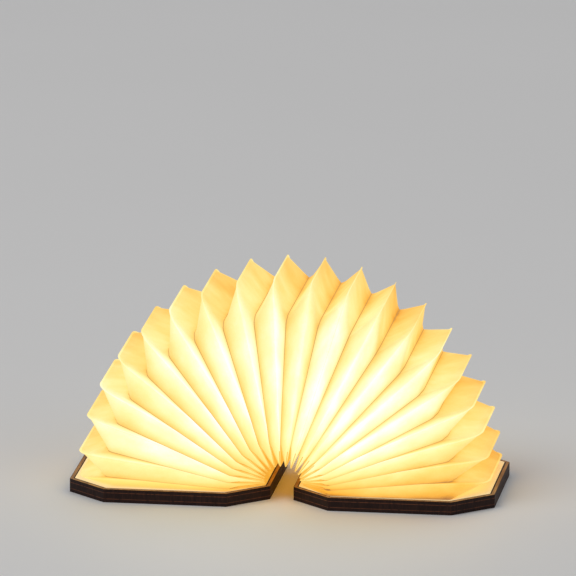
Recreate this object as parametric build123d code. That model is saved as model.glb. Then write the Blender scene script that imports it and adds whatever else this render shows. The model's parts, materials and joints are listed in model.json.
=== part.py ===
"""Folding book lamp: two wooden covers joined by a hollow paper bellows.

The lamp lies open flat, both covers on the table, and the bellows stands between them as a
half-round fan. Millimetres, +Z up. The origin is on the table, in the middle of the open lamp.
X runs across the covers, Y along the spine with the front at -Y.
"""
from build123d import *
import math
import os

import numpy

# --- Covers -------------------------------------------------------------------------------------
COVER_WIDTH = 90.0          # across one cover, from spine edge to fore edge
COVER_HEIGHT = 97.0         # along the spine
CORNER_LENGTH = 17.5        # leg of each 45 degree corner
SPINE_GAP = 10.5            # between the two covers when they lie flat
OUTER_BOARD = 1.6           # the face that lies on the table
FRAME_BOARD = 2.8           # the middle layer, with the pockets
INNER_BOARD = 1.6           # the face under the paper
COVER_THICKNESS = OUTER_BOARD + FRAME_BOARD + INNER_BOARD
INNER_EDGE = SPINE_GAP / 2
FORE_EDGE = INNER_EDGE + COVER_WIDTH
COVER_X = (INNER_EDGE + FORE_EDGE) / 2
BACK_EDGE = COVER_HEIGHT / 2
FIT = 0.1

# --- Paper --------------------------------------------------------------------------------------
PAPER = 0.2                 # lining sheet
PAPER_MARGIN = 2.2          # wood left bare round the lining
STACK = 14.0                # thickness of the closed bellows between the linings
PLEATS = 20
SEAM_HALF = BACK_EDGE - CORNER_LENGTH               # half length of a seam along the spine
RIDGE_FRONT = BACK_EDGE - PAPER_MARGIN - FIT        # half length of a ridge near the spine
RIDGE_DRAW = 1.0            # how much nearer the middle a ridge ends at the fore edge, where the fan is open
RIDGE_INSET = 14.7          # from a seam in to the ridge beside it
SEAM_BAND = 0.8             # half width of a glued seam strip
SEAM_THICKNESS = 0.3        # the strip and its glue
LAND = 0.6                  # width of paper that is glued down
TIP_CLEARANCE = 0.25        # from the tips of the closed bellows to the edge of the lining
FAN_RADIUS = FORE_EDGE - PAPER_MARGIN - TIP_CLEARANCE
FAN_CENTRE_Z = 6.8
STRIP_START = 11.0          # the strips stop short of the spine, where the paper flexes
ARCH_RISE = 3.7             # how much further out the middle leaves start, at the spine

# --- Opening ------------------------------------------------------------------------------------
FIRST_SHARE = 0.73          # gaps between leaves, as shares of a middle gap
SECOND_SHARE = 1.10
LAST_SHARE = 0.27
EVEN_COUNT = 14             # gaps before the paper sags, where they get steadily smaller
SAG_STEP = 0.058
BACK_CLEARANCE = 0.6        # between the covers when they are folded back to back
STACKING_STIFFNESS = 0.02   # how little a fold line may shift across the stack, against along it

# --- Electric parts -----------------------------------------------------------------------------
BOARD = (20.0, 61.0, 0.8)
BOARD_INSET = 18.75         # from the spine edge of the cover to the board
BOARD_WALL = 3.0            # from the board to the back edge of the cover
BATTERY_GAP = 5.0           # between the board and the battery
BATTERY_INSET = 16.25       # from the battery to the fore edge of the cover
BATTERY_LENGTH, BATTERY_HEIGHT = 50.0, 2.6
BATTERY_ROUND = 1.0
TAB = (8.0, 3.0, 0.4)
SOCKET = (7.5, 5.5, 2.5)
SOCKET_WALL = 0.3
SOCKET_LIFT = 0.15
CHIP, CHIP_PLACE = (4.0, 5.0, 1.2), (-5.0, 15.0)          # places are from the middle of the board
COIL, COIL_PLACE = (4.0, 4.0, 1.6), (5.0, 13.0)
COIL_ROUND = 1.0
CAPACITOR, CAPACITOR_PLACE = (1.6, 3.2, 1.3), (5.0, 3.0)
SENSOR, SENSOR_PLACE = (3.0, 3.0, 1.1), (-2.0, -26.0)
LED_BOARD = (10.0, 50.0, 1.0)
LED_BOARD_SHIFT = 3.0       # from the middle of the board to the middle of the lamp board
LED = (2.8, 3.5, 0.8)
LED_COUNT = 6
PIN = 0.8
PIN_PITCH = 2.54
MAGNET_RADIUS, MAGNET_HEIGHT = 4.0, 2.6
MAGNET_INSET = 9.25         # from the fore edge to the middle of a magnet
MAGNET_CORNER = 9.0         # from the corner of the fore edge to the middle of a magnet
TRIGGER_RADIUS = 3.0
POCKET_CLEARANCE = 0.5

LINING_TOP = COVER_THICKNESS + PAPER
LINING_EDGE = INNER_EDGE + PAPER_MARGIN
BOARD_X = -(INNER_EDGE + BOARD_INSET + BOARD[0] / 2)
BOARD_Y = BACK_EDGE - BOARD_WALL - BOARD[1] / 2
BATTERY_EDGE = BOARD_X - BOARD[0] / 2 - BATTERY_GAP
BATTERY_WIDTH = FORE_EDGE - BATTERY_INSET + BATTERY_EDGE
BATTERY = (BATTERY_WIDTH, BATTERY_LENGTH, BATTERY_HEIGHT)
BATTERY_X = BATTERY_EDGE - BATTERY_WIDTH / 2
LED_BOARD_X = BOARD_X + LED_BOARD_SHIFT
MAGNET_X = FORE_EDGE - MAGNET_INSET
MAGNET_Y = SEAM_HALF - MAGNET_CORNER
LAST = PLEATS


# --- The fan ------------------------------------------------------------------------------------
def gap_shares():
    """Share of each gap between neighbouring leaves, left cover to right cover."""
    shares = [1.0 - SAG_STEP * max(0, gap - EVEN_COUNT + 1) for gap in range(PLEATS)]
    shares[0], shares[1], shares[-1] = FIRST_SHARE, SECOND_SHARE, LAST_SHARE
    return shares


def gap_angles():
    """Angle of each gap, in degrees, when the covers lie flat."""
    shares = gap_shares()
    return [180.0 * share / sum(shares) for share in shares]


GAPS = gap_angles()
LEAF_ANGLES = [sum(GAPS[:leaf]) for leaf in range(PLEATS + 1)]
PITCH = STACK / PLEATS


def turned(angle, point):
    """A point of the stack (along the leaf, across the stack) turned about the stack's corner."""
    cosine, sine = math.cos(angle), math.sin(angle)
    return numpy.array([cosine * point[0] - sine * point[1], sine * point[0] + cosine * point[1]])


def leaf_moves(folds, opening):
    """Angle and shift of each leaf from the closed stack. opening is 0 closed, 1 flat, 2 back to back."""
    angle, shift = 0.0, numpy.zeros(2)
    moves = [(angle, shift)]
    for gap, fold in zip(GAPS, folds):
        step = math.radians(gap * opening)
        shift = shift + turned(angle, fold - turned(step, fold))
        angle += step
        moves.append((angle, shift))
    return moves


def closing_errors(shifts):
    """How far the right cover misses its place: flat beside, and back to back with, the left one."""
    folds = fold_lines(shifts)
    flat = leaf_moves(folds, 1)[-1][1]
    back = leaf_moves(folds, 2)[-1][1]
    return numpy.array([flat[0] + 2 * LINING_EDGE, flat[1] - STACK,
                        back[0], back[1] + STACK + 2 * LINING_TOP + BACK_CLEARANCE])


def fold_lines(shifts):
    """Place of each fold line in the closed stack, (along the leaf, across the stack)."""
    return [numpy.array([shifts[fold], PITCH * (fold + 0.5) + shifts[PLEATS + fold]])
            for fold in range(PLEATS)]


def solve_fold_lines():
    """The smallest shifts of the fold lines that let the covers close, lie flat and meet behind."""
    count = 2 * PLEATS
    start = closing_errors(numpy.zeros(count))
    slopes = numpy.stack([closing_errors(row) - start for row in numpy.eye(count)], axis=1)
    weights = numpy.diag([1.0] * PLEATS + [STACKING_STIFFNESS] * PLEATS)
    shifts = weights @ slopes.T @ numpy.linalg.solve(slopes @ weights @ slopes.T, -start)
    return fold_lines(shifts)


FOLDS = solve_fold_lines()
REST = leaf_moves(FOLDS, 1)


def flat_point(move, point):
    """(X, Z) of a point of the closed stack when the covers lie flat."""
    along, across = turned(move[0], point) + move[1]
    return -(along + LINING_EDGE), across + LINING_TOP


def fold_position(fold):
    """(X, Z) of a fold line when the covers lie flat."""
    return flat_point(REST[fold], FOLDS[fold])


class Leaf:
    """One leaf plane of the open fan: where it starts at the spine, and how long it is."""

    def __init__(self, start, angle, near, far):
        self.start, self.angle, self.near, self.far = start, math.radians(angle), near, far

    def point(self, along, y, lift=0.0):
        """A point of the leaf: along it, along the spine, and lifted off it towards the right cover."""
        x = self.start[0] - along * math.cos(self.angle) + lift * math.sin(self.angle)
        z = self.start[1] + along * math.sin(self.angle) + lift * math.cos(self.angle)
        return Vector(x, y, z)

    def plane(self):
        """The leaf's own plane, with x along the leaf and z across it."""
        along = (-math.cos(self.angle), 0, math.sin(self.angle))
        across = (math.sin(self.angle), 0, math.cos(self.angle))
        return Plane(origin=self.point(0, 0), x_dir=along, z_dir=across)


def tip_reach(start, angle):
    """Length from a leaf's start to the circle that the tips lie on."""
    run = start[0] * math.cos(angle) - (start[1] - FAN_CENTRE_Z) * math.sin(angle)
    rise_squared = start[0] ** 2 + (start[1] - FAN_CENTRE_Z) ** 2 - run ** 2
    return run + math.sqrt(FAN_RADIUS ** 2 - rise_squared)


def fan_leaf(number):
    """Leaf 0 lies on the left lining, leaf 20 on the right one."""
    start = flat_point(REST[number], (0.0, PITCH * number))
    angle = LEAF_ANGLES[number]
    swell = math.sin(math.radians(angle)) ** 2
    far = tip_reach(start, math.radians(angle)) - SEAM_BAND
    return Leaf(start, angle, ARCH_RISE * swell, far)


LEAVES = [fan_leaf(number) for number in range(PLEATS + 1)]


def ridge_leaf(number):
    """The plane of the ridge between two leaves."""
    low, high = LEAVES[number], LEAVES[number + 1]
    start = tuple((a + b) / 2 for a, b in zip(low.start, high.start))
    angle = (LEAF_ANGLES[number] + LEAF_ANGLES[number + 1]) / 2
    return Leaf(start, angle, (low.near + high.near) / 2, (low.far + high.far) / 2)


def seam_ring(leaf, inset, lift):
    """Corners of the rectangle that a seam follows round the hollow of the bellows."""
    near, far, half = leaf.near + inset, leaf.far - inset, SEAM_HALF - inset
    return [leaf.point(near, -half, lift), leaf.point(far, -half, lift),
            leaf.point(far, half, lift), leaf.point(near, half, lift)]


def ridge_ring(leaf, inset):
    """Corners of a ridge, which is shorter than a seam across the lamp and longer along the spine."""
    near, far = leaf.near + RIDGE_INSET + inset, leaf.far - RIDGE_INSET - inset
    front, front_tip = RIDGE_FRONT - inset, RIDGE_FRONT - RIDGE_DRAW - inset
    return [leaf.point(near, -front), leaf.point(far, -front_tip),
            leaf.point(far, front_tip), leaf.point(near, front)]


def strip_faces(ring_a, ring_b):
    """Triangles of the band between two rings of four corners, each side cut the same way front and back."""
    faces = []
    for start, end in ((1, 0), (1, 2), (2, 3), (3, 0)):
        first = [ring_a[start], ring_a[end], ring_b[end]]
        second = [ring_a[start], ring_b[end], ring_b[start]]
        faces += [Face(Wire.make_polygon(points, close=True)) for points in (first, second)]
    return faces


def sheet_faces(seam, lift, ridge):
    """Faces of one sheet, from a seam to a ridge: its outer side, its inner side and the end on the seam."""
    outside, inside = seam_ring(seam, 0, lift), seam_ring(seam, LAND, lift)
    faces = strip_faces(outside, ridge_ring(ridge, 0))
    faces += strip_faces(inside, ridge_ring(ridge, LAND))
    return faces + strip_faces(outside, inside)


def pleat(number):
    """Two paper sheets, glued to the seams on both sides and to each other along the ridge."""
    middle, lift = ridge_leaf(number), SEAM_THICKNESS / 2
    low_lift = 0.0 if number == 0 else lift
    return Solid(Shell(sheet_faces(LEAVES[number], low_lift, middle)
                       + sheet_faces(LEAVES[number + 1], -lift, middle)))


def last_pleat():
    """The last sheet, from the last seam down to the right lining."""
    lining = LEAVES[LAST]
    faces = sheet_faces(LEAVES[LAST - 1], SEAM_THICKNESS / 2, lining)
    return Solid(Shell(faces + strip_faces(ridge_ring(lining, 0), ridge_ring(lining, LAND))))


def leaf_edge(number):
    """Stiff glued strip that runs out along a leaf, round its fore edge and back."""
    leaf = LEAVES[number]
    length = leaf.far + SEAM_BAND - STRIP_START
    outside = Rectangle(length, 2 * (SEAM_HALF + SEAM_BAND), align=(Align.MIN, Align.CENTER))
    hollow = Rectangle(length - 2 * SEAM_BAND, 2 * (SEAM_HALF - SEAM_BAND),
                       align=(Align.MIN, Align.CENTER))
    band = Pos(STRIP_START, 0) * (outside - hollow)
    return extrude(leaf.plane() * band, SEAM_THICKNESS / 2, both=True)


# --- Covers -------------------------------------------------------------------------------------
def octagon(margin=0.0):
    """Cover outline, or a smaller one with an even margin inside it."""
    cut = CORNER_LENGTH - margin * (2 - math.sqrt(2))
    outline = Rectangle(COVER_WIDTH - 2 * margin, COVER_HEIGHT - 2 * margin)
    return chamfer(outline.vertices(), cut)


def plate(side, outline, bottom, thickness):
    """Flat sheet of a cover. side is -1 for the left cover and 1 for the right one."""
    return extrude(Pos(side * COVER_X, 0, bottom) * outline, thickness)


def block(x, y, bottom, size):
    """Upright block on a level, from its middle and its size."""
    return Pos(x, y, bottom) * Box(*size, align=(Align.CENTER, Align.CENTER, Align.MIN))


def disc(x, y, bottom, radius, height):
    """Upright round disc on a level."""
    return Pos(x, y, bottom) * Cylinder(radius, height, align=(Align.CENTER, Align.CENTER, Align.MIN))


def magnets(side):
    """Two disc magnets by the fore edge of a cover."""
    return [disc(side * MAGNET_X, y, OUTER_BOARD, MAGNET_RADIUS, MAGNET_HEIGHT)
            for y in (-MAGNET_Y, MAGNET_Y)]


def magnet_pockets(side):
    """Round pockets of the two magnets."""
    return [disc(side * MAGNET_X, y, OUTER_BOARD, MAGNET_RADIUS + FIT, FRAME_BOARD)
            for y in (-MAGNET_Y, MAGNET_Y)]


def left_frame():
    """Middle layer of the left cover, with pockets for the battery, the board and its socket."""
    frame = plate(-1, octagon(), OUTER_BOARD, FRAME_BOARD)
    spare = 2 * POCKET_CLEARANCE
    battery = block(BATTERY_X, 0, OUTER_BOARD, (BATTERY[0] + spare, BATTERY[1] + spare, FRAME_BOARD))
    board = block(BOARD_X, BOARD_Y, OUTER_BOARD, (BOARD[0] + spare, BOARD[1] + spare, FRAME_BOARD))
    reach = BACK_EDGE - BOARD_Y
    socket = block(BOARD_X, BOARD_Y + reach / 2, OUTER_BOARD, (SOCKET[0] + 2 * FIT, reach, FRAME_BOARD))
    reach = BOARD_X - BATTERY_X
    channel = block(BATTERY_X + reach / 2, 0, OUTER_BOARD, (reach, 4 * TAB[1], FRAME_BOARD))
    return frame - [battery, board, socket, channel] - magnet_pockets(-1)


def trigger_place():
    """Middle of the trigger magnet, which meets the sensor when the book is shut."""
    return -(BOARD_X + SENSOR_PLACE[0]), BOARD_Y + SENSOR_PLACE[1]


def right_frame():
    """Middle layer of the right cover, with pockets for its magnets."""
    frame = plate(1, octagon(), OUTER_BOARD, FRAME_BOARD)
    trigger = disc(*trigger_place(), OUTER_BOARD, TRIGGER_RADIUS + FIT, FRAME_BOARD)
    return frame - magnet_pockets(1) - trigger


def left_inner_board():
    """Inner face of the left cover, with the slot that the lamp board's pins come up through."""
    board = plate(-1, octagon(), OUTER_BOARD + FRAME_BOARD, INNER_BOARD)
    slot = block(LED_BOARD_X, 0, OUTER_BOARD + FRAME_BOARD, (2 * PIN_PITCH, 3 * PIN_PITCH, INNER_BOARD))
    return board - slot


def left_lining():
    """Paper on the left cover, with a window round the lamp board."""
    lining = plate(-1, octagon(PAPER_MARGIN), COVER_THICKNESS, PAPER)
    spare = 2 * POCKET_CLEARANCE
    window = block(LED_BOARD_X, 0, COVER_THICKNESS, (LED_BOARD[0] + spare, LED_BOARD[1] + spare, PAPER))
    return lining - window


def control_board():
    """Charging and switching board, notched at its back end for the socket."""
    board = block(BOARD_X, BOARD_Y, OUTER_BOARD, BOARD)
    depth = SOCKET[1] - BOARD_WALL + FIT
    notch = block(BOARD_X, BOARD_Y + BOARD[1] / 2 - depth / 2, OUTER_BOARD,
                  (SOCKET[0] + 2 * FIT, depth, BOARD[2]))
    return board - notch


def charging_socket():
    """Small flat charging socket, its mouth flush with the back edge of the left cover."""
    middle = BACK_EDGE - SOCKET[1] / 2
    bottom = OUTER_BOARD + SOCKET_LIFT
    shell = block(BOARD_X, middle, bottom, SOCKET)
    shell = fillet(shell.edges().filter_by(Axis.Y), SOCKET[2] / 4)
    hollow_size = (SOCKET[0] - 2 * SOCKET_WALL, SOCKET[1] - SOCKET_WALL, SOCKET[2] - 2 * SOCKET_WALL)
    hollow = block(BOARD_X, middle + SOCKET_WALL / 2, bottom + SOCKET_WALL, hollow_size)
    tongue_size = (hollow_size[0] / 2, hollow_size[1] - 2 * SOCKET_WALL, 2 * SOCKET_WALL)
    tongue = block(BOARD_X, middle - SOCKET_WALL / 2, bottom + SOCKET[2] / 2 - SOCKET_WALL, tongue_size)
    return shell - hollow + tongue


def board_part(place, size):
    """A part that stands on the board. Its place is from the middle of the board."""
    return block(BOARD_X + place[0], BOARD_Y + place[1], OUTER_BOARD + BOARD[2], size)


def board_parts():
    """Charging chip, coil, capacitor and the sensor that switches the lamp."""
    coil = board_part(COIL_PLACE, COIL)
    coil = fillet(coil.edges().filter_by(Axis.Z), COIL_ROUND)
    return [board_part(CHIP_PLACE, CHIP), coil, board_part(CAPACITOR_PLACE, CAPACITOR),
            board_part(SENSOR_PLACE, SENSOR)]


def battery_tabs():
    """Two flat tabs from the battery's edge onto the board."""
    return [block(BATTERY_EDGE + TAB[0] / 2, y, OUTER_BOARD + BOARD[2], TAB) for y in (-TAB[1], TAB[1])]


def led_chips():
    """Row of light emitting diodes on the lamp board."""
    pitch = LED_BOARD[1] / LED_COUNT
    start = -(LED_COUNT - 1) / 2 * pitch
    return [block(LED_BOARD_X, start + row * pitch, COVER_THICKNESS + LED_BOARD[2], LED)
            for row in range(LED_COUNT)]


def led_pins():
    """Two pins that carry current up through the inner board to the lamp board."""
    bottom = OUTER_BOARD + BOARD[2]
    return [block(LED_BOARD_X, y, bottom, (PIN, PIN, COVER_THICKNESS - bottom))
            for y in (-PIN_PITCH / 2, PIN_PITCH / 2)]


def cover_pieces():
    """Every node of the two covers, by name."""
    pieces = {}
    for name, side in (("left", -1), ("right", 1)):
        pieces[name + "_outer_board"] = plate(side, octagon(), 0, OUTER_BOARD)
        pieces[name + "_magnets"] = magnets(side)
    pieces["left_frame"] = left_frame()
    pieces["left_inner_board"] = left_inner_board()
    pieces["left_lining"] = left_lining()
    pieces["right_frame"] = right_frame()
    pieces["right_inner_board"] = plate(1, octagon(), OUTER_BOARD + FRAME_BOARD, INNER_BOARD)
    pieces["right_lining"] = plate(1, octagon(PAPER_MARGIN), COVER_THICKNESS, PAPER)
    pieces["trigger_magnet"] = disc(*trigger_place(), OUTER_BOARD, TRIGGER_RADIUS, MAGNET_HEIGHT)
    return pieces


def electric_pieces():
    """Every node of the electric parts, by name."""
    battery = block(BATTERY_X, 0, OUTER_BOARD, BATTERY)
    return {
        "battery_cell": fillet(battery.edges().filter_by(Axis.Y), BATTERY_ROUND),
        "battery_tabs": battery_tabs(),
        "control_board": control_board(),
        "board_parts": board_parts(),
        "charging_socket": charging_socket(),
        "led_board": block(LED_BOARD_X, 0, COVER_THICKNESS, LED_BOARD),
        "led_chips": led_chips(),
        "led_pins": led_pins(),
    }


def bellows_pieces():
    """Every node of the bellows, by name."""
    pieces = {f"pleat_{number + 1:02d}": pleat(number) for number in range(PLEATS - 1)}
    pieces[f"pleat_{PLEATS:02d}"] = last_pleat()
    for number in range(1, PLEATS):
        pieces[f"leaf_edge_{number:02d}"] = leaf_edge(number)
    return pieces


def save(name, piece):
    """Write one node, a single solid or a group of separate ones."""
    group = Compound(children=list(piece)) if isinstance(piece, list) else piece
    export_step(group, os.path.join("parts", name + ".step"))


def main():
    """Write every node, and print the fold lines."""
    os.makedirs("parts", exist_ok=True)
    for pieces in (cover_pieces(), electric_pieces(), bellows_pieces()):
        for name, piece in pieces.items():
            save(name, piece)
    for fold in range(PLEATS):
        x, z = fold_position(fold)
        print(f"fold_{fold + 1:02d} x {x:.4f} z {z:.4f} gap {GAPS[fold]:.4f}")


main()
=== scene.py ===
"""Looks of the folding book lamp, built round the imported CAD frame.

The lamp lies open on a pale table. Two dark wooden covers carry a hollow paper bellows that is lit
from inside. The covers and the small electric parts are CAD pieces with their own finishes. The
pleats and the seams between them are modelled here, and fold with the covers. Everything is in
metres, in the frame of the CAD: the front of the lamp faces -Y and the spine runs along Y.
"""
from __future__ import annotations

import json
import logging
import math
from dataclasses import dataclass, field
from enum import Enum, IntEnum

import bmesh
import bpy
from mathutils import Matrix, Vector
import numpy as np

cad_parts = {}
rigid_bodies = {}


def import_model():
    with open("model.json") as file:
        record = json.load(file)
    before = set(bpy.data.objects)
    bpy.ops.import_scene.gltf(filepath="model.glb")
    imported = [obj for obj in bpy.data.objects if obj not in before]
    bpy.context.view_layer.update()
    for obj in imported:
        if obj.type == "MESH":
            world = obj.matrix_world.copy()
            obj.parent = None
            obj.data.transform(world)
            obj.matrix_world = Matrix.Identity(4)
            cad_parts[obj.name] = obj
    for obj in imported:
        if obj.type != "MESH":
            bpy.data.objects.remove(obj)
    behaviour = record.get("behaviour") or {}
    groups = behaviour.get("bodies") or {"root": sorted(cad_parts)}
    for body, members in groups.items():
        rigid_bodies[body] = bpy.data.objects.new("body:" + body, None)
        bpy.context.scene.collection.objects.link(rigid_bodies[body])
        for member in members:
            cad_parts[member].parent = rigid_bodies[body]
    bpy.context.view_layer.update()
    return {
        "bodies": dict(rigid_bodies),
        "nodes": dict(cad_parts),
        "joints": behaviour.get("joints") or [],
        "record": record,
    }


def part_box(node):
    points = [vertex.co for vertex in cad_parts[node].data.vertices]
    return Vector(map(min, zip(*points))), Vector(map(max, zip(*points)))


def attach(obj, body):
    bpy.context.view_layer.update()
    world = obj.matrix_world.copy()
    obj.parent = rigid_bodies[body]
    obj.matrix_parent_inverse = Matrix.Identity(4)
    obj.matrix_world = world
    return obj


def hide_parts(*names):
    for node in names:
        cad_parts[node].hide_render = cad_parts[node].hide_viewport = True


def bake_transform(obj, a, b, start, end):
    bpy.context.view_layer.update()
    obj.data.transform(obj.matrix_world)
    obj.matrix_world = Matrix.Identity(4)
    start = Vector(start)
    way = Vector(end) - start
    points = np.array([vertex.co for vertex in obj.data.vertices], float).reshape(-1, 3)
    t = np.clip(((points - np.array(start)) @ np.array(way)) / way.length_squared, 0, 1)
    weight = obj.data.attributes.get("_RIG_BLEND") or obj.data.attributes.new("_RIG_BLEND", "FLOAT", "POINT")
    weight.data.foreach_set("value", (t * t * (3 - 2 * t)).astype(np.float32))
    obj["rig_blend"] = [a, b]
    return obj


log = logging.getLogger("lamp")
MM = 0.001
SEAM_HALF = 31.0 * MM       # half length of a seam along the spine
SEAM_CORNER = 8.5 * MM      # how far the outer corners of a leaf are rounded
NOISE_MIDDLE = 0.5
GLOW_MAP = "glow"
Colour = tuple[float, float, float]
Span = tuple[float, float]
Spots = dict[int, tuple[int, int]]


class Row(IntEnum):
    """The three lines of points that a pleat is made of."""

    LOW_SEAM = 0
    RIDGE = 1
    HIGH_SEAM = 2


class Sheet(Enum):
    """The two paper sheets of a pleat."""

    LOW = "from the low seam to the ridge"
    HIGH = "from the ridge to the high seam"


class Grain(Enum):
    """Which way the fibres of a finish run, as the stretch of its pattern along X, Y and Z."""

    SPINE = (1.0, 0.07, 1.0)
    UPRIGHT = (1.0, 1.0, 0.12)
    EVEN = (1.0, 1.0, 1.0)


@dataclass(frozen=True)
class Noise:
    """A noise pattern: cells per metre, octaves, and how strong the fine octaves are."""

    scale: float
    detail: float = 4.0
    roughness: float = 0.55


# --- Materials ------------------------------------------------------------------------------------
class Shader:
    """One material, with short calls for the nodes that the finishes share."""

    def __init__(self, name: str) -> None:
        """Starts a material with a Principled surface.

        Args:
            name: Name of the material.
        """
        self.material = bpy.data.materials.new(name)
        self.material.use_nodes = True
        self.tree = self.material.node_tree
        self.tree.nodes.clear()
        output = self.tree.nodes.new("ShaderNodeOutputMaterial")
        self.surface = self.tree.nodes.new("ShaderNodeBsdfPrincipled")
        self.tree.links.new(self.surface.outputs[0], output.inputs["Surface"])

    def put(self, socket: bpy.types.NodeSocket, value: object) -> None:
        """Links a socket, or sets its constant.

        Args:
            socket: The input.
            value: Another node's output, a number, a vector or a colour.
        """
        if isinstance(value, bpy.types.NodeSocket):
            self.tree.links.new(value, socket)
        elif socket.type == "RGBA":
            socket.default_value = (*value, 1.0)
        else:
            socket.default_value = value

    def set(self, **values: object) -> None:
        """Sets inputs of the surface, named with underscores for spaces.

        Args:
            **values: Input name and value.
        """
        for name, value in values.items():
            self.put(self.surface.inputs[name.replace("_", " ")], value)

    def place(self, grain: Grain = Grain.EVEN) -> bpy.types.NodeSocket:
        """Place of a point on the object, stretched along the grain.

        Args:
            grain: Direction of the grain.

        Returns:
            The vector output.
        """
        where = self.tree.nodes.new("ShaderNodeTexCoord").outputs["Object"]
        stretch = self.tree.nodes.new("ShaderNodeVectorMath")
        stretch.operation = "MULTIPLY"
        self.put(stretch.inputs[0], where)
        self.put(stretch.inputs[1], grain.value)
        return stretch.outputs[0]

    def parts(self, vector: bpy.types.NodeSocket) -> tuple[bpy.types.NodeSocket, ...]:
        """Splits a vector.

        Args:
            vector: The vector output.

        Returns:
            Its X, Y and Z outputs.
        """
        split = self.tree.nodes.new("ShaderNodeSeparateXYZ")
        self.put(split.inputs[0], vector)
        return tuple(split.outputs)

    def normal_z(self) -> bpy.types.NodeSocket:
        """How much a point of the surface faces up or down, in the object's own frame.

        Returns:
            0 on an upright side, 1 on a flat face.
        """
        normal = self.tree.nodes.new("ShaderNodeTexCoord").outputs["Normal"]
        return self.calc("ABSOLUTE", self.parts(normal)[2])

    def calc(self, operation: str, first: object, second: object = 0.0,
             third: object = 0.0) -> bpy.types.NodeSocket:
        """One Math node.

        Args:
            operation: The node's operation.
            first: First value.
            second: Second value.
            third: Third value.

        Returns:
            The result.
        """
        node = self.tree.nodes.new("ShaderNodeMath")
        node.operation = operation
        for socket, value in zip(node.inputs, (first, second, third)):
            self.put(socket, value)
        return node.outputs[0]

    def noise(self, where: bpy.types.NodeSocket, pattern: Noise) -> bpy.types.NodeSocket:
        """A noise pattern.

        Args:
            where: The place to read it at.
            pattern: Its size and detail.

        Returns:
            The pattern, around NOISE_MIDDLE.
        """
        node = self.tree.nodes.new("ShaderNodeTexNoise")
        self.put(node.inputs["Vector"], where)
        self.put(node.inputs["Scale"], pattern.scale)
        self.put(node.inputs["Detail"], pattern.detail)
        self.put(node.inputs["Roughness"], pattern.roughness)
        return node.outputs["Fac"]

    def vary(self, value: bpy.types.NodeSocket, pattern: bpy.types.NodeSocket,
             share: float) -> bpy.types.NodeSocket:
        """Moves a value up and down with a pattern.

        Args:
            value: The value.
            pattern: The noise pattern.
            share: How strongly.

        Returns:
            The uneven value.
        """
        swing = self.calc("SUBTRACT", pattern, NOISE_MIDDLE)
        return self.calc("MULTIPLY_ADD", swing, share, value)

    def ramp(self, value: bpy.types.NodeSocket,
             stops: tuple[tuple[float, Colour], ...]) -> bpy.types.NodeSocket:
        """Colours along a value.

        Args:
            value: The value, from 0 to 1.
            stops: Position and colour of each stop.

        Returns:
            The colour output.
        """
        node = self.tree.nodes.new("ShaderNodeValToRGB")
        band = node.color_ramp
        while len(band.elements) < len(stops):
            band.elements.new(0.5)
        for element, (position, colour) in zip(band.elements, stops):
            element.position = position
            element.color = (*colour, 1.0)
        self.put(node.inputs[0], value)
        return node.outputs["Color"]

    def step(self, value: bpy.types.NodeSocket, low: float, high: float) -> bpy.types.NodeSocket:
        """A soft step.

        Args:
            value: The value.
            low: Where the result is 0.
            high: Where it is 1. It may be the smaller of the two.

        Returns:
            The result, from 0 to 1.
        """
        node = self.tree.nodes.new("ShaderNodeMapRange")
        node.interpolation_type = "SMOOTHSTEP"
        for name, number in (("Value", value), ("From Min", low), ("From Max", high)):
            self.put(node.inputs[name], number)
        return node.outputs[0]

    def mix(self, share: object, first: object, second: object) -> bpy.types.NodeSocket:
        """Mixes two colours.

        Args:
            share: How much of the second colour, from 0 to 1.
            first: First colour.
            second: Second colour.

        Returns:
            The colour output.
        """
        node = self.tree.nodes.new("ShaderNodeMix")
        node.data_type = "RGBA"
        self.put(node.inputs[0], share)
        self.put(node.inputs[6], first)
        self.put(node.inputs[7], second)
        return node.outputs[2]

    def bump(self, height: bpy.types.NodeSocket, depth: float, strength: float = 1.0) -> None:
        """Lets a pattern shape the surface.

        Args:
            height: The pattern.
            depth: Its depth, in metres.
            strength: How much of it shows.
        """
        node = self.tree.nodes.new("ShaderNodeBump")
        self.put(node.inputs["Strength"], strength)
        self.put(node.inputs["Distance"], depth)
        self.put(node.inputs["Height"], height)
        self.put(self.surface.inputs["Normal"], node.outputs[0])


@dataclass(frozen=True)
class CoverOutline:
    """The eight-sided outline that both covers share, from above."""

    centre: float = 50.25 * MM
    half_width: float = 45.0 * MM
    half_height: float = 48.5 * MM
    corner: float = 17.5 * MM

    def distance(self, shader: Shader) -> bpy.types.NodeSocket:
        """How far inside the outline a point of a cover is.

        Args:
            shader: The material that needs it.

        Returns:
            The distance, in metres.
        """
        x, y, _ = shader.parts(shader.place())
        across = shader.calc("ABSOLUTE", shader.calc("SUBTRACT", shader.calc("ABSOLUTE", x), self.centre))
        side = shader.calc("SUBTRACT", self.half_width, across)
        end = shader.calc("SUBTRACT", self.half_height, shader.calc("ABSOLUTE", y))
        both = shader.calc("SUBTRACT", shader.calc("ADD", side, end), self.corner)
        slant = shader.calc("MULTIPLY", both, math.sqrt(0.5))
        return shader.calc("MINIMUM", shader.calc("MINIMUM", side, end), slant)


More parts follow.
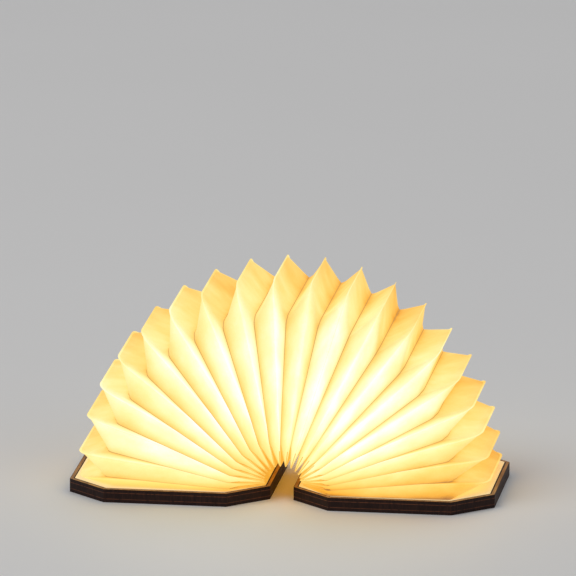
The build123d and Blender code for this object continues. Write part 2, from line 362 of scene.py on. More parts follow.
@dataclass(frozen=True)
class Plywood:
    """Stained plywood: brown on its faces, nearly black where the laser has cut its edge."""

    name: str = "stained_plywood"
    light: Colour = (0.200, 0.098, 0.048)
    dark: Colour = (0.072, 0.033, 0.018)
    # Painted lamp light: bright tan of the unstained wood margin round the lining, as lit by the paper.
    lamp_lit_rim: Colour = (0.620, 0.360, 0.150)
    # Laser-burnt cut edges; the same colour is the painted shadow under the lining's edge.
    burnt_and_shadow: Colour = (0.015, 0.005, 0.004)
    brown: Colour = (0.046, 0.016, 0.010)
    glue: Colour = (0.170, 0.058, 0.028)
    streaks: Noise = Noise(420.0, 6.0, 0.6)
    pores: Noise = Noise(2600.0, 3.0, 0.6)
    kerf: Noise = Noise(1500.0, 4.0, 0.6)
    plies: Noise = Noise(900.0, 3.0)
    pore_share: float = 0.25
    stained_contrast: Span = (0.36, 0.64)
    lamp_lit_contrast: Span = (0.30, 0.70)
    kerf_contrast: Span = (0.40, 0.80)
    ply_contrast: Span = (0.22, 0.62)
    glue_lines: Span = (1.6 * MM, 4.4 * MM)
    glue_fade: Span = (0.20 * MM, 0.06 * MM)
    # Painted shadow: how far inside the outline the dark band under the lining fades in.
    groove_shadow: Span = (1.35 * MM, 1.75 * MM)
    singe: Span = (0.30 * MM, 0.05 * MM)
    inner_face: float = 5.5 * MM
    inner_fade: float = 0.1 * MM
    flat_normal: Span = (0.4, 0.7)
    gloss: float = 0.22
    rough: float = 0.50
    rough_spread: float = 0.25
    relief: float = 0.05 * MM
    relief_share: float = 0.5
    outline: CoverOutline = field(default_factory=CoverOutline)

    def face(self, shader: Shader, figure: bpy.types.NodeSocket,
             height: bpy.types.NodeSocket) -> bpy.types.NodeSocket:
        """Colour of the flat faces: stained outside; the inner face unstained and brightened with painted
        lamp light, with a painted shadow as a dark band round the lining.

        Args:
            shader: The material.
            figure: Pattern of the wood.
            height: Height above the outer face.

        Returns:
            The colour.
        """
        inner = shader.step(height, self.inner_face - self.inner_fade, self.inner_face)
        stained = shader.mix(shader.step(figure, *self.stained_contrast), self.dark, self.light)
        # Painted lamp light: the inner face mixes the stained colour with the lit tan.
        lamp_lit_bare = shader.mix(shader.step(figure, *self.lamp_lit_contrast), self.light, self.lamp_lit_rim)
        inside = self.outline.distance(shader)
        # Painted shadow under the edge of the lining.
        lamp_lit_bare = shader.mix(shader.step(inside, *self.groove_shadow), lamp_lit_bare, self.burnt_and_shadow)
        wood = shader.mix(inner, stained, lamp_lit_bare)
        return shader.mix(shader.step(inside, *self.singe), wood, self.burnt_and_shadow)

    def edge(self, shader: Shader, kerf: bpy.types.NodeSocket,
             height: bpy.types.NodeSocket) -> bpy.types.NodeSocket:
        """Colour of the cut edge: burnt, with a line of glue between each two sheets.

        Args:
            shader: The material.
            kerf: Pattern of the cut.
            height: Height above the outer face.

        Returns:
            The colour.
        """
        plies = shader.step(shader.noise(shader.place(), self.plies), *self.ply_contrast)
        colour = shader.mix(shader.step(kerf, *self.kerf_contrast), self.burnt_and_shadow, self.brown)
        for line in self.glue_lines:
            off = shader.calc("ABSOLUTE", shader.calc("SUBTRACT", height, line))
            thin = shader.calc("MULTIPLY", shader.step(off, *self.glue_fade), plies)
            colour = shader.mix(thin, colour, self.glue)
        return colour

    def material(self) -> bpy.types.Material:
        """Builds the material.

        Returns:
            The material.
        """
        shader = Shader(self.name)
        grain = shader.place(Grain.SPINE)
        streaks = shader.noise(grain, self.streaks)
        pores = shader.noise(grain, self.pores)
        kerf = shader.noise(shader.place(Grain.UPRIGHT), self.kerf)
        figure = shader.calc("ADD", shader.calc("MULTIPLY", streaks, 1.0 - self.pore_share),
                             shader.calc("MULTIPLY", pores, self.pore_share))
        _, _, height = shader.parts(shader.place())
        flat = shader.step(shader.normal_z(), *self.flat_normal)
        wood = shader.mix(flat, self.edge(shader, kerf, height), self.face(shader, figure, height))
        shader.set(Base_Color=wood, Specular_IOR_Level=self.gloss,
                   Roughness=shader.calc("MULTIPLY_ADD", streaks, self.rough_spread, self.rough))
        shader.bump(shader.calc("ADD", kerf, pores), self.relief, self.relief_share)
        return shader.material


@dataclass(frozen=True)
class LiningPaper:
    """The white paper that lines the covers, with long fibres pressed into it."""

    name: str = "lining_paper"
    sheet: Colour = (0.86, 0.76, 0.56)
    fibre: Colour = (0.72, 0.58, 0.36)
    lit: Colour = (0.78, 0.50, 0.15)
    light: float = 0.42
    clouds: Noise = Noise(90.0, 3.0)
    fibres: Noise = Noise(1400.0, 5.0, 0.7)
    fibre_contrast: Span = (0.52, 0.75)
    fibre_share: float = 0.6
    cloud_share: float = 0.25
    rough: float = 0.82
    relief: float = 0.04 * MM
    relief_share: float = 0.6

    def material(self) -> bpy.types.Material:
        """Builds the material.

        Returns:
            The material.
        """
        shader = Shader(self.name)
        where = shader.place()
        clouds = shader.noise(where, self.clouds)
        fibres = shader.noise(where, self.fibres)
        tone = shader.calc("MULTIPLY", shader.step(fibres, *self.fibre_contrast), self.fibre_share)
        tone = shader.calc("ADD", tone, shader.calc("MULTIPLY", clouds, self.cloud_share))
        shader.set(Base_Color=shader.mix(tone, self.sheet, self.fibre), Roughness=self.rough,
                   Emission_Color=self.lit, Emission_Strength=self.light)
        shader.bump(fibres, self.relief, self.relief_share)
        return shader.material


@dataclass(frozen=True)
class LitPaper:
    """Strong fibrous paper with the light of the lamp behind it.

    The pieces carry a map named glow: across it how much light comes through, up it how near a
    point is to the ridge of its pleat.
    """

    name: str = "lit_paper"
    paper: Colour = (0.15, 0.115, 0.065)
    glow: tuple[tuple[float, Colour], ...] = (
        (0.00, (0.30, 0.090, 0.012)),
        (0.18, (0.82, 0.370, 0.032)),
        (0.34, (0.91, 0.530, 0.095)),
        (0.50, (0.95, 0.670, 0.185)),
        (0.66, (0.97, 0.810, 0.320)),
        (0.82, (0.98, 0.910, 0.530)),
        (1.00, (1.00, 0.990, 0.930)),
    )
    # Painted shade: colour of the thin darker line of glow along each ridge.
    ridge: Colour = (0.50, 0.250, 0.055)
    ridge_shade_band: Span = (0.960, 0.992)
    ridge_shade_share: float = 0.85
    crest_shade: float = 0.24
    crest_falloff: float = 5.0
    clouds: Noise = Noise(55.0, 3.0)
    fibres: Noise = Noise(1100.0, 5.0, 0.7)
    cloud_share: float = 0.40
    fibre_share: float = 0.14
    rough: float = 0.78
    relief: float = 0.05 * MM
    relief_share: float = 0.5

    def material(self) -> bpy.types.Material:
        """Builds the material.

        Returns:
            The material.
        """
        shader = Shader(self.name)
        node = shader.tree.nodes.new("ShaderNodeUVMap")
        node.uv_map = GLOW_MAP
        light, fold, _ = shader.parts(node.outputs[0])
        where = shader.place()
        fibres = shader.noise(where, self.fibres)
        uneven = shader.vary(light, shader.noise(where, self.clouds), self.cloud_share)
        uneven = shader.vary(uneven, fibres, self.fibre_share)
        near = shader.calc("POWER", fold, self.crest_falloff)
        uneven = shader.calc("MULTIPLY_ADD", near, -self.crest_shade, uneven)
        # Painted shade line along the ridge, mixed into the glow.
        ridge_shade_line = shader.calc("MULTIPLY", shader.step(fold, *self.ridge_shade_band), self.ridge_shade_share)
        lit = shader.mix(ridge_shade_line, shader.ramp(uneven, self.glow), self.ridge)
        shader.set(Base_Color=self.paper, Roughness=self.rough, Emission_Color=lit, Emission_Strength=1.0)
        shader.bump(fibres, self.relief, self.relief_share)
        return shader.material


@dataclass(frozen=True)
class SmallPart:
    """Metal, plastic or coated board of the parts inside the cover."""

    name: str
    colour: Colour
    worn: Colour
    rough: float = 0.4
    metal: float = 0.0
    scale: float = 900.0
    relief: float = 0.02 * MM
    grain: Grain = Grain.EVEN
    light: float = 0.0
    wear_contrast: Span = (0.42, 0.72)
    fine_ratio: float = 6.0
    rough_spread: float = 0.2
    relief_share: float = 0.5

    def material(self) -> bpy.types.Material:
        """Builds the material.

        Returns:
            The material.
        """
        shader = Shader(self.name)
        where = shader.place(self.grain)
        wear = shader.noise(where, Noise(self.scale, 4.0, 0.6))
        fine = shader.noise(where, Noise(self.scale * self.fine_ratio, 2.0))
        smoothest = self.rough - self.rough_spread / 2
        shader.set(Base_Color=shader.mix(shader.step(wear, *self.wear_contrast), self.colour, self.worn),
                   Metallic=self.metal,
                   Roughness=shader.calc("MULTIPLY_ADD", fine, self.rough_spread, smoothest))
        if self.light:
            shader.set(Emission_Color=self.worn, Emission_Strength=self.light)
        shader.bump(fine, self.relief, self.relief_share)
        return shader.material


@dataclass(frozen=True)
class TableTop:
    """Pale matt table."""

    name: str = "pale_table"
    light: Colour = (0.80, 0.79, 0.775)
    dark: Colour = (0.755, 0.745, 0.73)
    clouds: Noise = Noise(2.2, 3.0)
    tooth: Noise = Noise(900.0, 3.0)
    rough: float = 0.62
    relief: float = 0.02 * MM
    relief_share: float = 0.3

    def material(self) -> bpy.types.Material:
        """Builds the material.

        Returns:
            The material.
        """
        shader = Shader(self.name)
        where = shader.place()
        clouds = shader.noise(where, self.clouds)
        shader.set(Base_Color=shader.mix(clouds, self.light, self.dark), Roughness=self.rough)
        shader.bump(shader.noise(where, self.tooth), self.relief, self.relief_share)
        return shader.material


# --- The fan --------------------------------------------------------------------------------------
def smooth(value: float) -> float:
    """A soft step from 0 to 1.

    Args:
        value: The value.

    Returns:
        The result.
    """
    value = min(max(value, 0.0), 1.0)
    return value * value * (3.0 - 2.0 * value)


def bend(start: Vector, corner: Vector, end: Vector, share: float) -> Vector:
    """A point of the curve that rounds a corner.

    Args:
        start: Where the curve begins.
        corner: The sharp corner.
        end: Where it ends.
        share: Place along it, from 0 to 1.

    Returns:
        The point.
    """
    return start * (1 - share) ** 2 + corner * 2 * share * (1 - share) + end * share ** 2


@dataclass(frozen=True)
class Leaf:
    """A plane of the open fan, hinged at the spine."""

    start: tuple[float, float]
    angle: float
    near: float
    far: float

    def point(self, along: float, y: float, lift: float = 0.0) -> Vector:
        """A point of the plane.

        Args:
            along: Length along the leaf from its start.
            y: Place along the spine.
            lift: Height off the leaf, towards the right cover.

        Returns:
            The point.
        """
        x = self.start[0] - along * math.cos(self.angle) + lift * math.sin(self.angle)
        z = self.start[1] + along * math.sin(self.angle) + lift * math.cos(self.angle)
        return Vector((x, y, z))

    def between(self, other: Leaf) -> Leaf:
        """The plane half way to another leaf.

        Args:
            other: The other leaf.

        Returns:
            The plane.
        """
        start = ((self.start[0] + other.start[0]) / 2, (self.start[1] + other.start[1]) / 2)
        return Leaf(start, (self.angle + other.angle) / 2, (self.near + other.near) / 2,
                    (self.far + other.far) / 2)


@dataclass(frozen=True)
class RingPoint:
    """A point of a ring, and how far it belongs to the fore edge and to the arch."""

    along: float
    y: float
    fore: float
    arch: float


@dataclass(frozen=True)
class Ring:
    """A rounded four-sided line in a leaf's plane."""

    near: float
    far: float
    near_half: float
    far_half: float
    near_radius: float
    far_radius: float
    arc_steps: int = 3
    side_points: int = 5

    def points(self) -> list[RingPoint]:
        """Points of the ring: front, fore edge, back, arch.

        Returns:
            The points, in order.
        """
        corners = [Vector((self.near, -self.near_half)), Vector((self.far, -self.far_half)),
                   Vector((self.far, self.far_half)), Vector((self.near, self.near_half))]
        radii = [self.near_radius, self.far_radius, self.far_radius, self.near_radius]
        sides = [(0.0, 1.0), (0.0, 0.0), (1.0, 0.0), (0.0, 0.0)]
        starts, ends = [], []
        for index, (corner, radius) in enumerate(zip(corners, radii)):
            back, ahead = corners[index - 1] - corner, corners[(index + 1) % 4] - corner
            starts.append(corner + back.normalized() * radius)
            ends.append(corner + ahead.normalized() * radius)
        result = []
        for index, corner in enumerate(corners):
            before, after = sides[index], sides[(index + 1) % 4]
            for step in range(self.arc_steps + 1):
                share = step / self.arc_steps
                spot = bend(starts[index], corner, ends[index], share)
                fore, arch = (a + (b - a) * share for a, b in zip(before, after))
                result.append(RingPoint(spot.x, spot.y, fore, arch))
            following = starts[(index + 1) % 4]
            for step in range(1, self.side_points + 1):
                spot = ends[index].lerp(following, step / (self.side_points + 1))
                result.append(RingPoint(spot.x, spot.y, *after))
        return result


class FanPlan:
    """Where the leaves stand, read from the CAD frame."""

    strip_start = 11.0 * MM
    strip_half = 0.8 * MM
    arch_rise = 3.7 * MM
    tip_clearance = 0.25 * MM

    def __init__(self, frame: dict) -> None:
        """Reads the leaves.
        """
        self.nodes = frame["nodes"]
        behaviour = frame["record"]["behaviour"]
        self.count = len(behaviour["joints"])
        low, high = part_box("left_lining")
        self.spine = -high[0]
        self.table = high[2]
        self.radius = -low[0] - self.tip_clearance
        self.angles = self.read_angles(behaviour)
        self.leaves = [self.read_leaf(number) for number in range(self.count + 1)]

    def read_angles(self, behaviour: dict) -> list[float]:
        """Angle of each leaf, from the ratios of the folds.

        Args:
            behaviour: The record's list of bodies, joints and couplings.

        Returns:
            The angles, from 0 on the left cover to a half turn on the right one.
        """
        ratios = {entry["joint"]: entry["ratio"] for entry in behaviour["couplings"]}
        shares = [ratios.get(entry["name"], 1.0) for entry in behaviour["joints"]]
        return [math.pi * sum(shares[:number]) / sum(shares) for number in range(self.count + 1)]

    def read_leaf(self, number: int) -> Leaf:
        """Place of one leaf.

        Args:
            number: 0 on the left lining, the number of folds on the right one.

        Returns:
            The leaf.
        """
        angle = self.angles[number]
        if number in (0, self.count):
            start = (-self.spine if number == 0 else self.spine, self.table)
            return Leaf(start, angle, 0.0, self.radius - self.spine - self.strip_half)
        out = Vector((-math.cos(angle), 0.0, math.sin(angle)))
        across = Vector((math.sin(angle), 0.0, math.cos(angle)))
        spots = [vertex.co for vertex in self.nodes[f"leaf_edge_{number:02d}"].data.vertices]
        reach = [spot.dot(out) for spot in spots]
        lift = [spot.dot(across) for spot in spots]
        begin = min(reach) - self.strip_start
        centre = out * begin + across * ((min(lift) + max(lift)) / 2)
        return Leaf((centre.x, centre.z), angle, self.arch_rise * math.sin(angle) ** 2,
                    max(reach) - self.strip_half - begin)

    def body(self, number: int) -> str:
        """Name of the CAD body that a leaf moves with.

        Args:
            number: Number of the leaf.

        Returns:
            The name.
        """
        if number == 0:
            return "left_cover"
        return "right_cover" if number == self.count else f"leaf_{number:02d}"


@dataclass(frozen=True)
class GlowPlan:
    """How much light comes through the paper in each place, from 0 to 1."""

    full: float = 1.0
    left_end: float = 0.66
    left_band: float = 0.12
    right_end: float = 0.46
    right_band: float = 0.26
    past_ends: float = 0.02
    spine_loss: float = 0.34
    spine_band: float = 0.34
    tip_loss: float = 0.14
    tip_start: float = 0.55
    fore_front: float = 0.60
    fore_back: float = 0.38
    fore_depth: float = 60.0 * MM
    fore_base: float = 0.35
    ripple: float = 0.06
    ripple_rate: float = 47.0
    arch: float = 0.20
    ridge_loss: float = 0.20
    shade: float = 0.20
    seam_share: float = 0.35
    low_shaded: tuple[Span, ...] = ((0.0, 0.12), (0.48, 0.56))

    def blade(self, turn: float) -> float:
        """Brightness of a blade.

        Args:
            turn: Place in the fan, 0 at the left cover and 1 at the right one.

        Returns:
            The brightness.
        """
        left = smooth((turn + self.past_ends) / self.left_band)
        right = smooth((1 + self.past_ends - turn) / self.right_band)
        return min(self.left_end + (self.full - self.left_end) * left,
                   self.right_end + (self.full - self.right_end) * right)

    def at(self, turn: float, sheet: Sheet, spot: RingPoint, leaf: Leaf, ridge: bool) -> float:
        """Brightness of a point.

        Args:
            turn: Place in the fan.
            sheet: Which sheet of the pleat.
            spot: Point of the ring.
            leaf: The leaf or ridge plane that the ring lies in.
            ridge: Whether the point is on the ridge.

        Returns:
            The brightness.
        """
        length = (spot.along - leaf.near) / (leaf.far - leaf.near)
        blade = self.blade(turn)
        face = blade - self.spine_loss * (1 - smooth(length / self.spine_band))
        face -= self.tip_loss * smooth((length - self.tip_start) / (1 - self.tip_start))
        if ridge:
            face -= self.ridge_loss
        low_shaded = any(start < turn < end for start, end in self.low_shaded)
        if sheet is (Sheet.LOW if low_shaded else Sheet.HIGH):
            face -= self.shade * (1.0 if ridge else self.seam_share)
        back = smooth(spot.y / self.fore_depth + 0.5)
        fore = self.fore_front + (self.fore_back - self.fore_front) * back
        fore *= self.fore_base + (1 - self.fore_base) * blade
        fore += self.ripple * math.sin(turn * self.ripple_rate)
        glow = face + (fore - face) * spot.fore
        return glow + (self.arch - glow) * spot.arch


def deselect() -> None:
    """Leaves nothing selected."""
    for piece in bpy.context.selected_objects:
        piece.select_set(False)


def finish_piece(piece: bpy.types.Object, name: str, material: bpy.types.Material) -> None:
    """Names a piece, gives it its material and logs it.

    Args:
        piece: The piece.
        name: Its name.
        material: Its material.
    """
    piece.name = piece.data.name = name
    piece.data.materials.clear()
    piece.data.materials.append(material)
    log.info("%s: %d points, %d modifiers", name, len(piece.data.vertices), len(piece.modifiers))
def glow_layer(mesh: bpy.types.Mesh) -> bpy.types.MeshUVLoopLayer:
    """Leaves a mesh with one map, the one that the lit paper reads.

    Args:
        mesh: The mesh.

    Returns:
        The map.
    """
    while mesh.uv_layers:
        mesh.uv_layers.remove(mesh.uv_layers[0])
    return mesh.uv_layers.new(name=GLOW_MAP)


@dataclass(frozen=True)
class PleatRow:
    """One line of points of a pleat: its plane, its ring, its lift off the plane."""

    leaf: Leaf
    ring: list[RingPoint]
    lift: float
    ridge: bool = False


@dataclass
class Pleat:
    """Two paper sheets from one seam over a ridge to the next seam. The last pleat is one sheet."""

    number: int
    plan: FanPlan
    glow: GlowPlan
    ridge_front: float = 46.2 * MM
    ridge_draw: float = 1.0 * MM
    ridge_inset: float = 14.7 * MM
    ridge_corners: Span = (0.8 * MM, 1.6 * MM)
    seam_lift: float = 0.15 * MM
    glued_lift: float = 0.02 * MM
    near_corner: float = 1.2 * MM
    clearance: float = 1.9 * MM
    clearance_start: float = 0.80
    clearance_band: float = 0.14
    fore_crease: float = 0.35
    paper: float = 0.15 * MM
    soft_levels: int = 2
    smooth_angle: float = math.radians(38)
    straddle: float = 0.1 * MM

    def seam(self, leaf: Leaf) -> list[RingPoint]:
        """The rounded rectangle of a seam. On the last leaves it starts further from the spine.

        Args:
            leaf: The leaf that it lies in.

        Returns:
            Its points.
        """
        turn = leaf.angle / math.pi
        near = leaf.near + self.clearance * smooth((turn - self.clearance_start) / self.clearance_band)
        return Ring(near, leaf.far, SEAM_HALF, SEAM_HALF, self.near_corner, SEAM_CORNER).points()

    def ridge(self, leaf: Leaf) -> list[RingPoint]:
        """The line that a ridge follows.

        Args:
            leaf: The plane of the ridge.

        Returns:
            Its points.
        """
        return Ring(leaf.near + self.ridge_inset, leaf.far - self.ridge_inset, self.ridge_front,
                    self.ridge_front - self.ridge_draw, *self.ridge_corners).points()

    def rows(self) -> list[PleatRow]:
        """The lines of points.

        Returns:
            Two rows for the last pleat, which is glued down, and three for the others.
        """
        low, high = self.plan.leaves[self.number - 1], self.plan.leaves[self.number]
        low_row = PleatRow(low, self.seam(low), self.glued_lift if self.number == 1 else self.seam_lift)
        if self.number == self.plan.count:
            return [low_row, PleatRow(high, self.ridge(high), -self.glued_lift, ridge=True)]
        middle = low.between(high)
        return [low_row, PleatRow(middle, self.ridge(middle), 0.0, ridge=True),
                PleatRow(high, self.seam(high), -self.seam_lift)]

    def build(self, material: bpy.types.Material) -> bpy.types.Object:
        """Models the pleat.

        Args:
            material: The paper.

        Returns:
            The piece.
        """
        rows = self.rows()
        columns = len(rows[0].ring)
        deselect()
        bpy.ops.mesh.primitive_circle_add(vertices=columns, radius=1.0, location=(0, 0, 0))
        piece = bpy.context.object
        bpy.ops.object.mode_set(mode="EDIT")
        bpy.ops.mesh.select_all(action="SELECT")
        for _ in rows[1:]:
            bpy.ops.mesh.extrude_region_move(TRANSFORM_OT_translate={"value": (0, 0, 1)})
        shape = bmesh.from_edit_mesh(piece.data)
        spots = {}
        for vertex in shape.verts:
            turn = math.atan2(vertex.co.y, vertex.co.x) / math.tau
            spots[vertex.index] = (round(vertex.co.z), round(turn * columns) % columns)
        self.crease(shape, rows, spots)
        for vertex in shape.verts:
            row, column = spots[vertex.index]
            spot = rows[row].ring[column]
            vertex.co = rows[row].leaf.point(spot.along, spot.y, rows[row].lift)
        shape.normal_update()
        inward = self.faces_inward(shape, rows, spots)
        bmesh.update_edit_mesh(piece.data)
        if inward:
            bpy.ops.mesh.select_all(action="SELECT")
            bpy.ops.mesh.flip_normals()
        bpy.ops.object.mode_set(mode="OBJECT")
        self.map_glow(piece.data, rows, spots)
        bpy.ops.object.shade_smooth_by_angle(angle=self.smooth_angle)
        soft = piece.modifiers.new("soft", "SUBSURF")
        soft.levels = soft.render_levels = self.soft_levels
        thick = piece.modifiers.new("paper", "SOLIDIFY")
        thick.thickness = self.paper
        thick.offset = -1.0
        self.join(piece)
        finish_piece(piece, f"paper_pleat_{self.number:02d}", material)
        return piece

    def crease(self, shape: bmesh.types.BMesh, rows: list[PleatRow], spots: Spots) -> None:
        """Keeps the ridge sharp, and less so at the fore edge. The last pleat has no ridge.

        Args:
            shape: The mesh.
            rows: The lines of points.
            spots: Row and column of each vertex.
        """
        layers = shape.edges.layers.float
        layer = layers.get("crease_edge") or layers.new("crease_edge")
        for edge in shape.edges:
            first, second = (spots[vertex.index] for vertex in edge.verts)
            if first[0] == second[0] == Row.RIDGE and len(rows) == len(Row):
                fore = min(rows[Row.RIDGE].ring[spot[1]].fore for spot in (first, second))
                edge[layer] = 1.0 + (self.fore_crease - 1.0) * fore

    def faces_inward(self, shape: bmesh.types.BMesh, rows: list[PleatRow], spots: Spots) -> bool:
        """Whether the faces look into the lamp.

        Args:
            shape: The mesh.
            rows: The lines of points.
            spots: Row and column of each vertex.

        Returns:
            True if a face on the front side looks back.
        """
        for face in shape.faces:
            ring = [rows[row].ring[column] for row, column in (spots[v.index] for v in face.verts)]
            if all(spot.fore == 0 and spot.arch == 0 and spot.y < 0 for spot in ring):
                return face.normal.y > 0
        return False

    def map_glow(self, mesh: bpy.types.Mesh, rows: list[PleatRow], spots: Spots) -> None:
        """Writes the map that the lit paper reads.

        Args:
            mesh: The mesh.
            rows: The lines of points.
            spots: Row and column of each vertex.
        """
        layer = glow_layer(mesh)
        turn = (self.number - 0.5) / self.plan.count
        for face in mesh.polygons:
            sheet = Sheet.LOW if max(spots[v][0] for v in face.vertices) == Row.RIDGE else Sheet.HIGH
            for corner in face.loop_indices:
                index, column = spots[mesh.loops[corner].vertex_index]
                row = rows[index]
                light = self.glow.at(turn, sheet, row.ring[column], row.leaf, row.ridge)
                layer.data[corner].uv = (light, float(row.ridge))

    def join(self, piece: bpy.types.Object) -> None:
        """Lets the pleat fold between its two leaves.

        Args:
            piece: The piece.
        """
        middle = self.plan.leaves[self.number - 1].between(self.plan.leaves[self.number])
        start = middle.point(middle.near, 0.0, -self.straddle)
        end = middle.point(middle.near, 0.0, self.straddle)
        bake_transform(piece, self.plan.body(self.number - 1), self.plan.body(self.number), start, end)
        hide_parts(f"pleat_{self.number:02d}")


@dataclass
class Seam:
    """The glued edge between two pleats: a thin strip that rounds the outer corners of a leaf."""

    number: int
    plan: FanPlan
    glow: GlowPlan
    thickness: float = 0.3 * MM
    rounding: float = 0.08 * MM
    rounding_steps: int = 2
    arc_steps: int = 8
    side_points: int = 12
    lift: float = 0.10

    def path(self) -> list[tuple[Vector, Vector, float]]:
        """The seam's line from the spine to the middle of the fore edge and back.

        Returns:
            Place, outward direction and nearness to the fore edge of each point.
        """
        leaf = self.plan.leaves[self.number]
        half, far, radius, begin = SEAM_HALF, leaf.far, SEAM_CORNER, self.plan.strip_start
        front = [(Vector((begin + (far - radius - begin) * step / self.side_points, -half)),
                  Vector((0.0, -1.0)), 0.0) for step in range(self.side_points)]
        start, corner, end = Vector((far - radius, -half)), Vector((far, -half)), Vector((far, radius - half))
        for step in range(self.arc_steps + 1):
            share = step / self.arc_steps
            run = ((corner - start) * (1 - share) + (end - corner) * share).normalized()
            front.append((bend(start, corner, end, share), Vector((run.y, -run.x)), share))
        middle = [(Vector((far, 0.0)), Vector((1.0, 0.0)), 1.0)]
        back = [(Vector((spot.x, -spot.y)), Vector((out.x, -out.y)), fore)
                for spot, out, fore in reversed(front)]
        return front + middle + back

    def lines(self) -> list[list[tuple[float, float, float]]]:
        """The strip's inner and outer side. Only on the fore edge does it stand out of the paper.

        Returns:
            Along, y and nearness to the fore edge of each point.
        """
        width = self.plan.strip_half
        sides = []
        for outer in (False, True):
            line = []
            for spot, out, fore in self.path():
                place = spot + out * (width * fore if outer else -width)
                line.append((place.x, place.y, fore))
            sides.append(line)
        return sides

    def build(self, material: bpy.types.Material) -> bpy.types.Object:
        """Models the seam.

        Args:
            material: The paper edge.

        Returns:
            The piece.
        """
        leaf = self.plan.leaves[self.number]
        lines = self.lines()
        length = len(lines[0]) - 1
        deselect()
        bpy.ops.mesh.primitive_grid_add(x_subdivisions=length, y_subdivisions=1, size=1.0)
        piece = bpy.context.object
        bpy.ops.object.mode_set(mode="EDIT")
        shape = bmesh.from_edit_mesh(piece.data)
        spots = {}
        for vertex in shape.verts:
            column, line = round((vertex.co.x + 0.5) * length), round(vertex.co.y + 0.5)
            spots[vertex.index] = (line, column)
            along, y, _ = lines[line][column]
            vertex.co = leaf.point(along, y)
        bmesh.update_edit_mesh(piece.data)
        bpy.ops.mesh.select_all(action="SELECT")
        bpy.ops.mesh.normals_make_consistent(inside=False)
        bpy.ops.object.mode_set(mode="OBJECT")
        self.map_glow(piece.data, lines, spots)
        thick = piece.modifiers.new("paper", "SOLIDIFY")
        thick.thickness = self.thickness
        thick.offset = 0.0
        edge = piece.modifiers.new("worn_edge", "BEVEL")
        edge.width = self.rounding
        edge.segments = self.rounding_steps
        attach(piece, self.plan.body(self.number))
        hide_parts(f"leaf_edge_{self.number:02d}")
        finish_piece(piece, f"seam_{self.number:02d}", material)
        return piece

    def map_glow(self, mesh: bpy.types.Mesh, lines: list, spots: Spots) -> None:
        """Writes the map that the lit paper reads.

        Args:
            mesh: The mesh.
            lines: The strip's two long sides.
            spots: Side and column of each vertex.
        """
        layer = glow_layer(mesh)
        leaf = self.plan.leaves[self.number]
        for corner, loop in enumerate(mesh.loops):
            line, column = spots[loop.vertex_index]
            along, y, fore = lines[line][column]
            spot = RingPoint(along, y, fore, arch=0.0)
            light = self.glow.at(self.number / self.plan.count, Sheet.LOW, spot, leaf, ridge=False)
            layer.data[corner].uv = (light + self.lift * fore, 0.0)


@dataclass
class Bellows:
    """The paper of the lamp."""

    plan: FanPlan
    paper: LitPaper = field(default_factory=LitPaper)
    glow: GlowPlan = field(default_factory=GlowPlan)

    def build(self) -> None:
        """Models the pleats and the seams between them."""
        material = self.paper.material()
        for number in range(1, self.plan.count + 1):
            Pleat(number, self.plan, self.glow).build(material)
        for number in range(1, self.plan.count):
            Seam(number, self.plan, self.glow).build(material)


# --- CAD pieces -----------------------------------------------------------------------------------
class CadPieces:
    """Gives CAD nodes their finish."""

    def __init__(self, nodes: dict[str, bpy.types.Object]) -> None:
        """Keeps the nodes.

        Args:
            nodes: Name and object of each CAD node.
        """
        self.nodes = nodes

    def dress(self, material: bpy.types.Material, *names: str) -> None:
        """Puts a material on nodes.

        Args:
            material: The material.
            *names: The nodes.
        """
        for name in names:
            for slot in self.nodes[name].material_slots:
                slot.material = material
            log.info("%s: %s", name, material.name)


class Covers(CadPieces):
    """The two wooden covers and their linings."""

    def build(self) -> None:
        """Dresses the covers."""
        layers = [f"{side}_{layer}" for side in ("left", "right")
                  for layer in ("outer_board", "frame", "inner_board")]
        self.dress(Plywood().material(), *layers)
        self.dress(LiningPaper().material(), "left_lining", "right_lining")


class Electrics(CadPieces):
    """Everything in the pockets of the left cover, and the magnets."""

    finishes = (
        (SmallPart("nickel_plate", (0.72, 0.70, 0.66), (0.60, 0.58, 0.54), rough=0.28, metal=1.0),
         ("left_magnets", "right_magnets", "trigger_magnet", "battery_tabs")),
        (SmallPart("drawn_steel", (0.62, 0.62, 0.63), (0.48, 0.48, 0.49), rough=0.3, metal=1.0,
                   grain=Grain.SPINE), ("charging_socket",)),
        (SmallPart("foil_pouch", (0.66, 0.67, 0.69), (0.52, 0.53, 0.56), rough=0.36, metal=0.85,
                   scale=180.0, relief=0.12 * MM), ("battery_cell",)),
        (SmallPart("green_board", (0.010, 0.085, 0.035), (0.022, 0.13, 0.055), rough=0.38,
                   scale=700.0), ("control_board",)),
        (SmallPart("black_cases", (0.018, 0.018, 0.020), (0.05, 0.05, 0.052), rough=0.5),
         ("board_parts",)),
        (SmallPart("white_board", (0.80, 0.80, 0.77), (0.70, 0.69, 0.64), rough=0.45), ("led_board",)),
        (SmallPart("lamp_chips", (0.9, 0.72, 0.30), (1.0, 0.78, 0.42), rough=0.35, light=20.0),
         ("led_chips",)),
        (SmallPart("brass", (0.75, 0.55, 0.22), (0.62, 0.43, 0.16), rough=0.3, metal=1.0), ("led_pins",)),
    )

    def build(self) -> None:
        """Dresses the electric parts."""
        for finish, names in self.finishes:
            self.dress(finish.material(), *names)


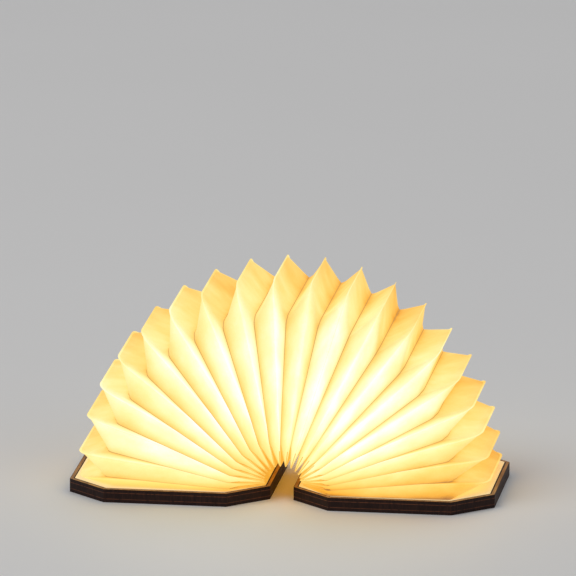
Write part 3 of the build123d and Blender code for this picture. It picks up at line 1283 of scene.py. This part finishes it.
# --- Studio ---------------------------------------------------------------------------------------
@dataclass(frozen=True)
class SoftBox:
    """One large soft light."""

    name: str
    place: tuple[float, float, float]
    size: float
    power: float
    colour: Colour = (1.0, 1.0, 1.0)
    aim: tuple[float, float, float] = (0.0, 0.0, 0.03)

    def build(self) -> bpy.types.Object:
        """Hangs the light, turned to the lamp.

        Returns:
            The light.
        """
        data = bpy.data.lights.new(self.name, "AREA")
        data.shape = "DISK"
        data.size = self.size
        data.energy = self.power
        data.color = self.colour
        lamp = bpy.data.objects.new(self.name, data)
        lamp.location = self.place
        line = Vector(self.aim) - Vector(self.place)
        lamp.rotation_euler = line.to_track_quat("-Z", "Y").to_euler()
        bpy.context.scene.collection.objects.link(lamp)
        log.info("%s: %.0f W", self.name, self.power)
        return lamp


@dataclass
class Studio:
    """Camera, table and lights."""

    lens: float = 751.1
    sensor: float = 36.0
    place: tuple[float, float, float] = (0.6365, -5.185, 1.2775)
    yaw: float = 0.1225
    pitch: float = 0.2236
    roll: float = 0.0088
    table_size: float = 16.0
    sky_colour: Colour = (0.93, 0.95, 1.0)
    sky_strength: float = 0.26
    lights: tuple[SoftBox, ...] = (
        SoftBox("key", (-1.6, -1.2, 2.6), size=2.2, power=34.0),
        SoftBox("fill", (2.2, -2.0, 1.8), size=2.6, power=12.0),
        SoftBox("top", (0.2, 1.8, 2.8), size=2.4, power=20.0),
    )

    def camera(self) -> bpy.types.Object:
        """Stands the camera where the photograph was taken from.

        Returns:
            The camera.
        """
        data = bpy.data.cameras.new("camera")
        data.sensor_width = self.sensor
        data.lens = self.lens
        camera = bpy.data.objects.new("camera", data)
        turn = (Matrix.Rotation(self.yaw, 4, "Z") @ Matrix.Rotation(math.pi / 2 - self.pitch, 4, "X")
                @ Matrix.Rotation(self.roll, 4, "Z"))
        camera.matrix_world = Matrix.Translation(self.place) @ turn
        bpy.context.scene.collection.objects.link(camera)
        bpy.context.scene.camera = camera
        return camera

    def table(self) -> bpy.types.Object:
        """Lays the table under the lamp.

        Returns:
            The table.
        """
        deselect()
        bpy.ops.mesh.primitive_plane_add(size=self.table_size, location=(0, 0, 0))
        piece = bpy.context.object
        piece.name = "table"
        piece.data.materials.append(TableTop().material())
        return piece

    def sky(self) -> None:
        """Fills the room with even light."""
        world = bpy.data.worlds.new("room")
        world.use_nodes = True
        background = world.node_tree.nodes["Background"]
        background.inputs["Color"].default_value = (*self.sky_colour, 1.0)
        background.inputs["Strength"].default_value = self.sky_strength
        bpy.context.scene.world = world

    def build(self) -> None:
        """Sets the studio up. The plain view transform keeps the paper's warm colours strong."""
        bpy.context.scene.view_settings.view_transform = "Standard"
        self.table()
        self.sky()
        for light in self.lights:
            light.build()


def corners(box: tuple) -> list[list[float]]:
    """A box as plain lists.

    Args:
        box: Its lowest and highest corner.

    Returns:
        The two corners.
    """
    return [[float(number) for number in corner] for corner in box]


def main() -> None:
    """Builds the scene."""
    logging.basicConfig(level=logging.INFO, format="%(message)s")
    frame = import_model()
    studio = Studio()
    studio.camera()
    plan = FanPlan(frame)
    Bellows(plan).build()
    Covers(frame["nodes"]).build()
    Electrics(frame["nodes"]).build()
    studio.build()


if __name__ == "__main__":
    main()
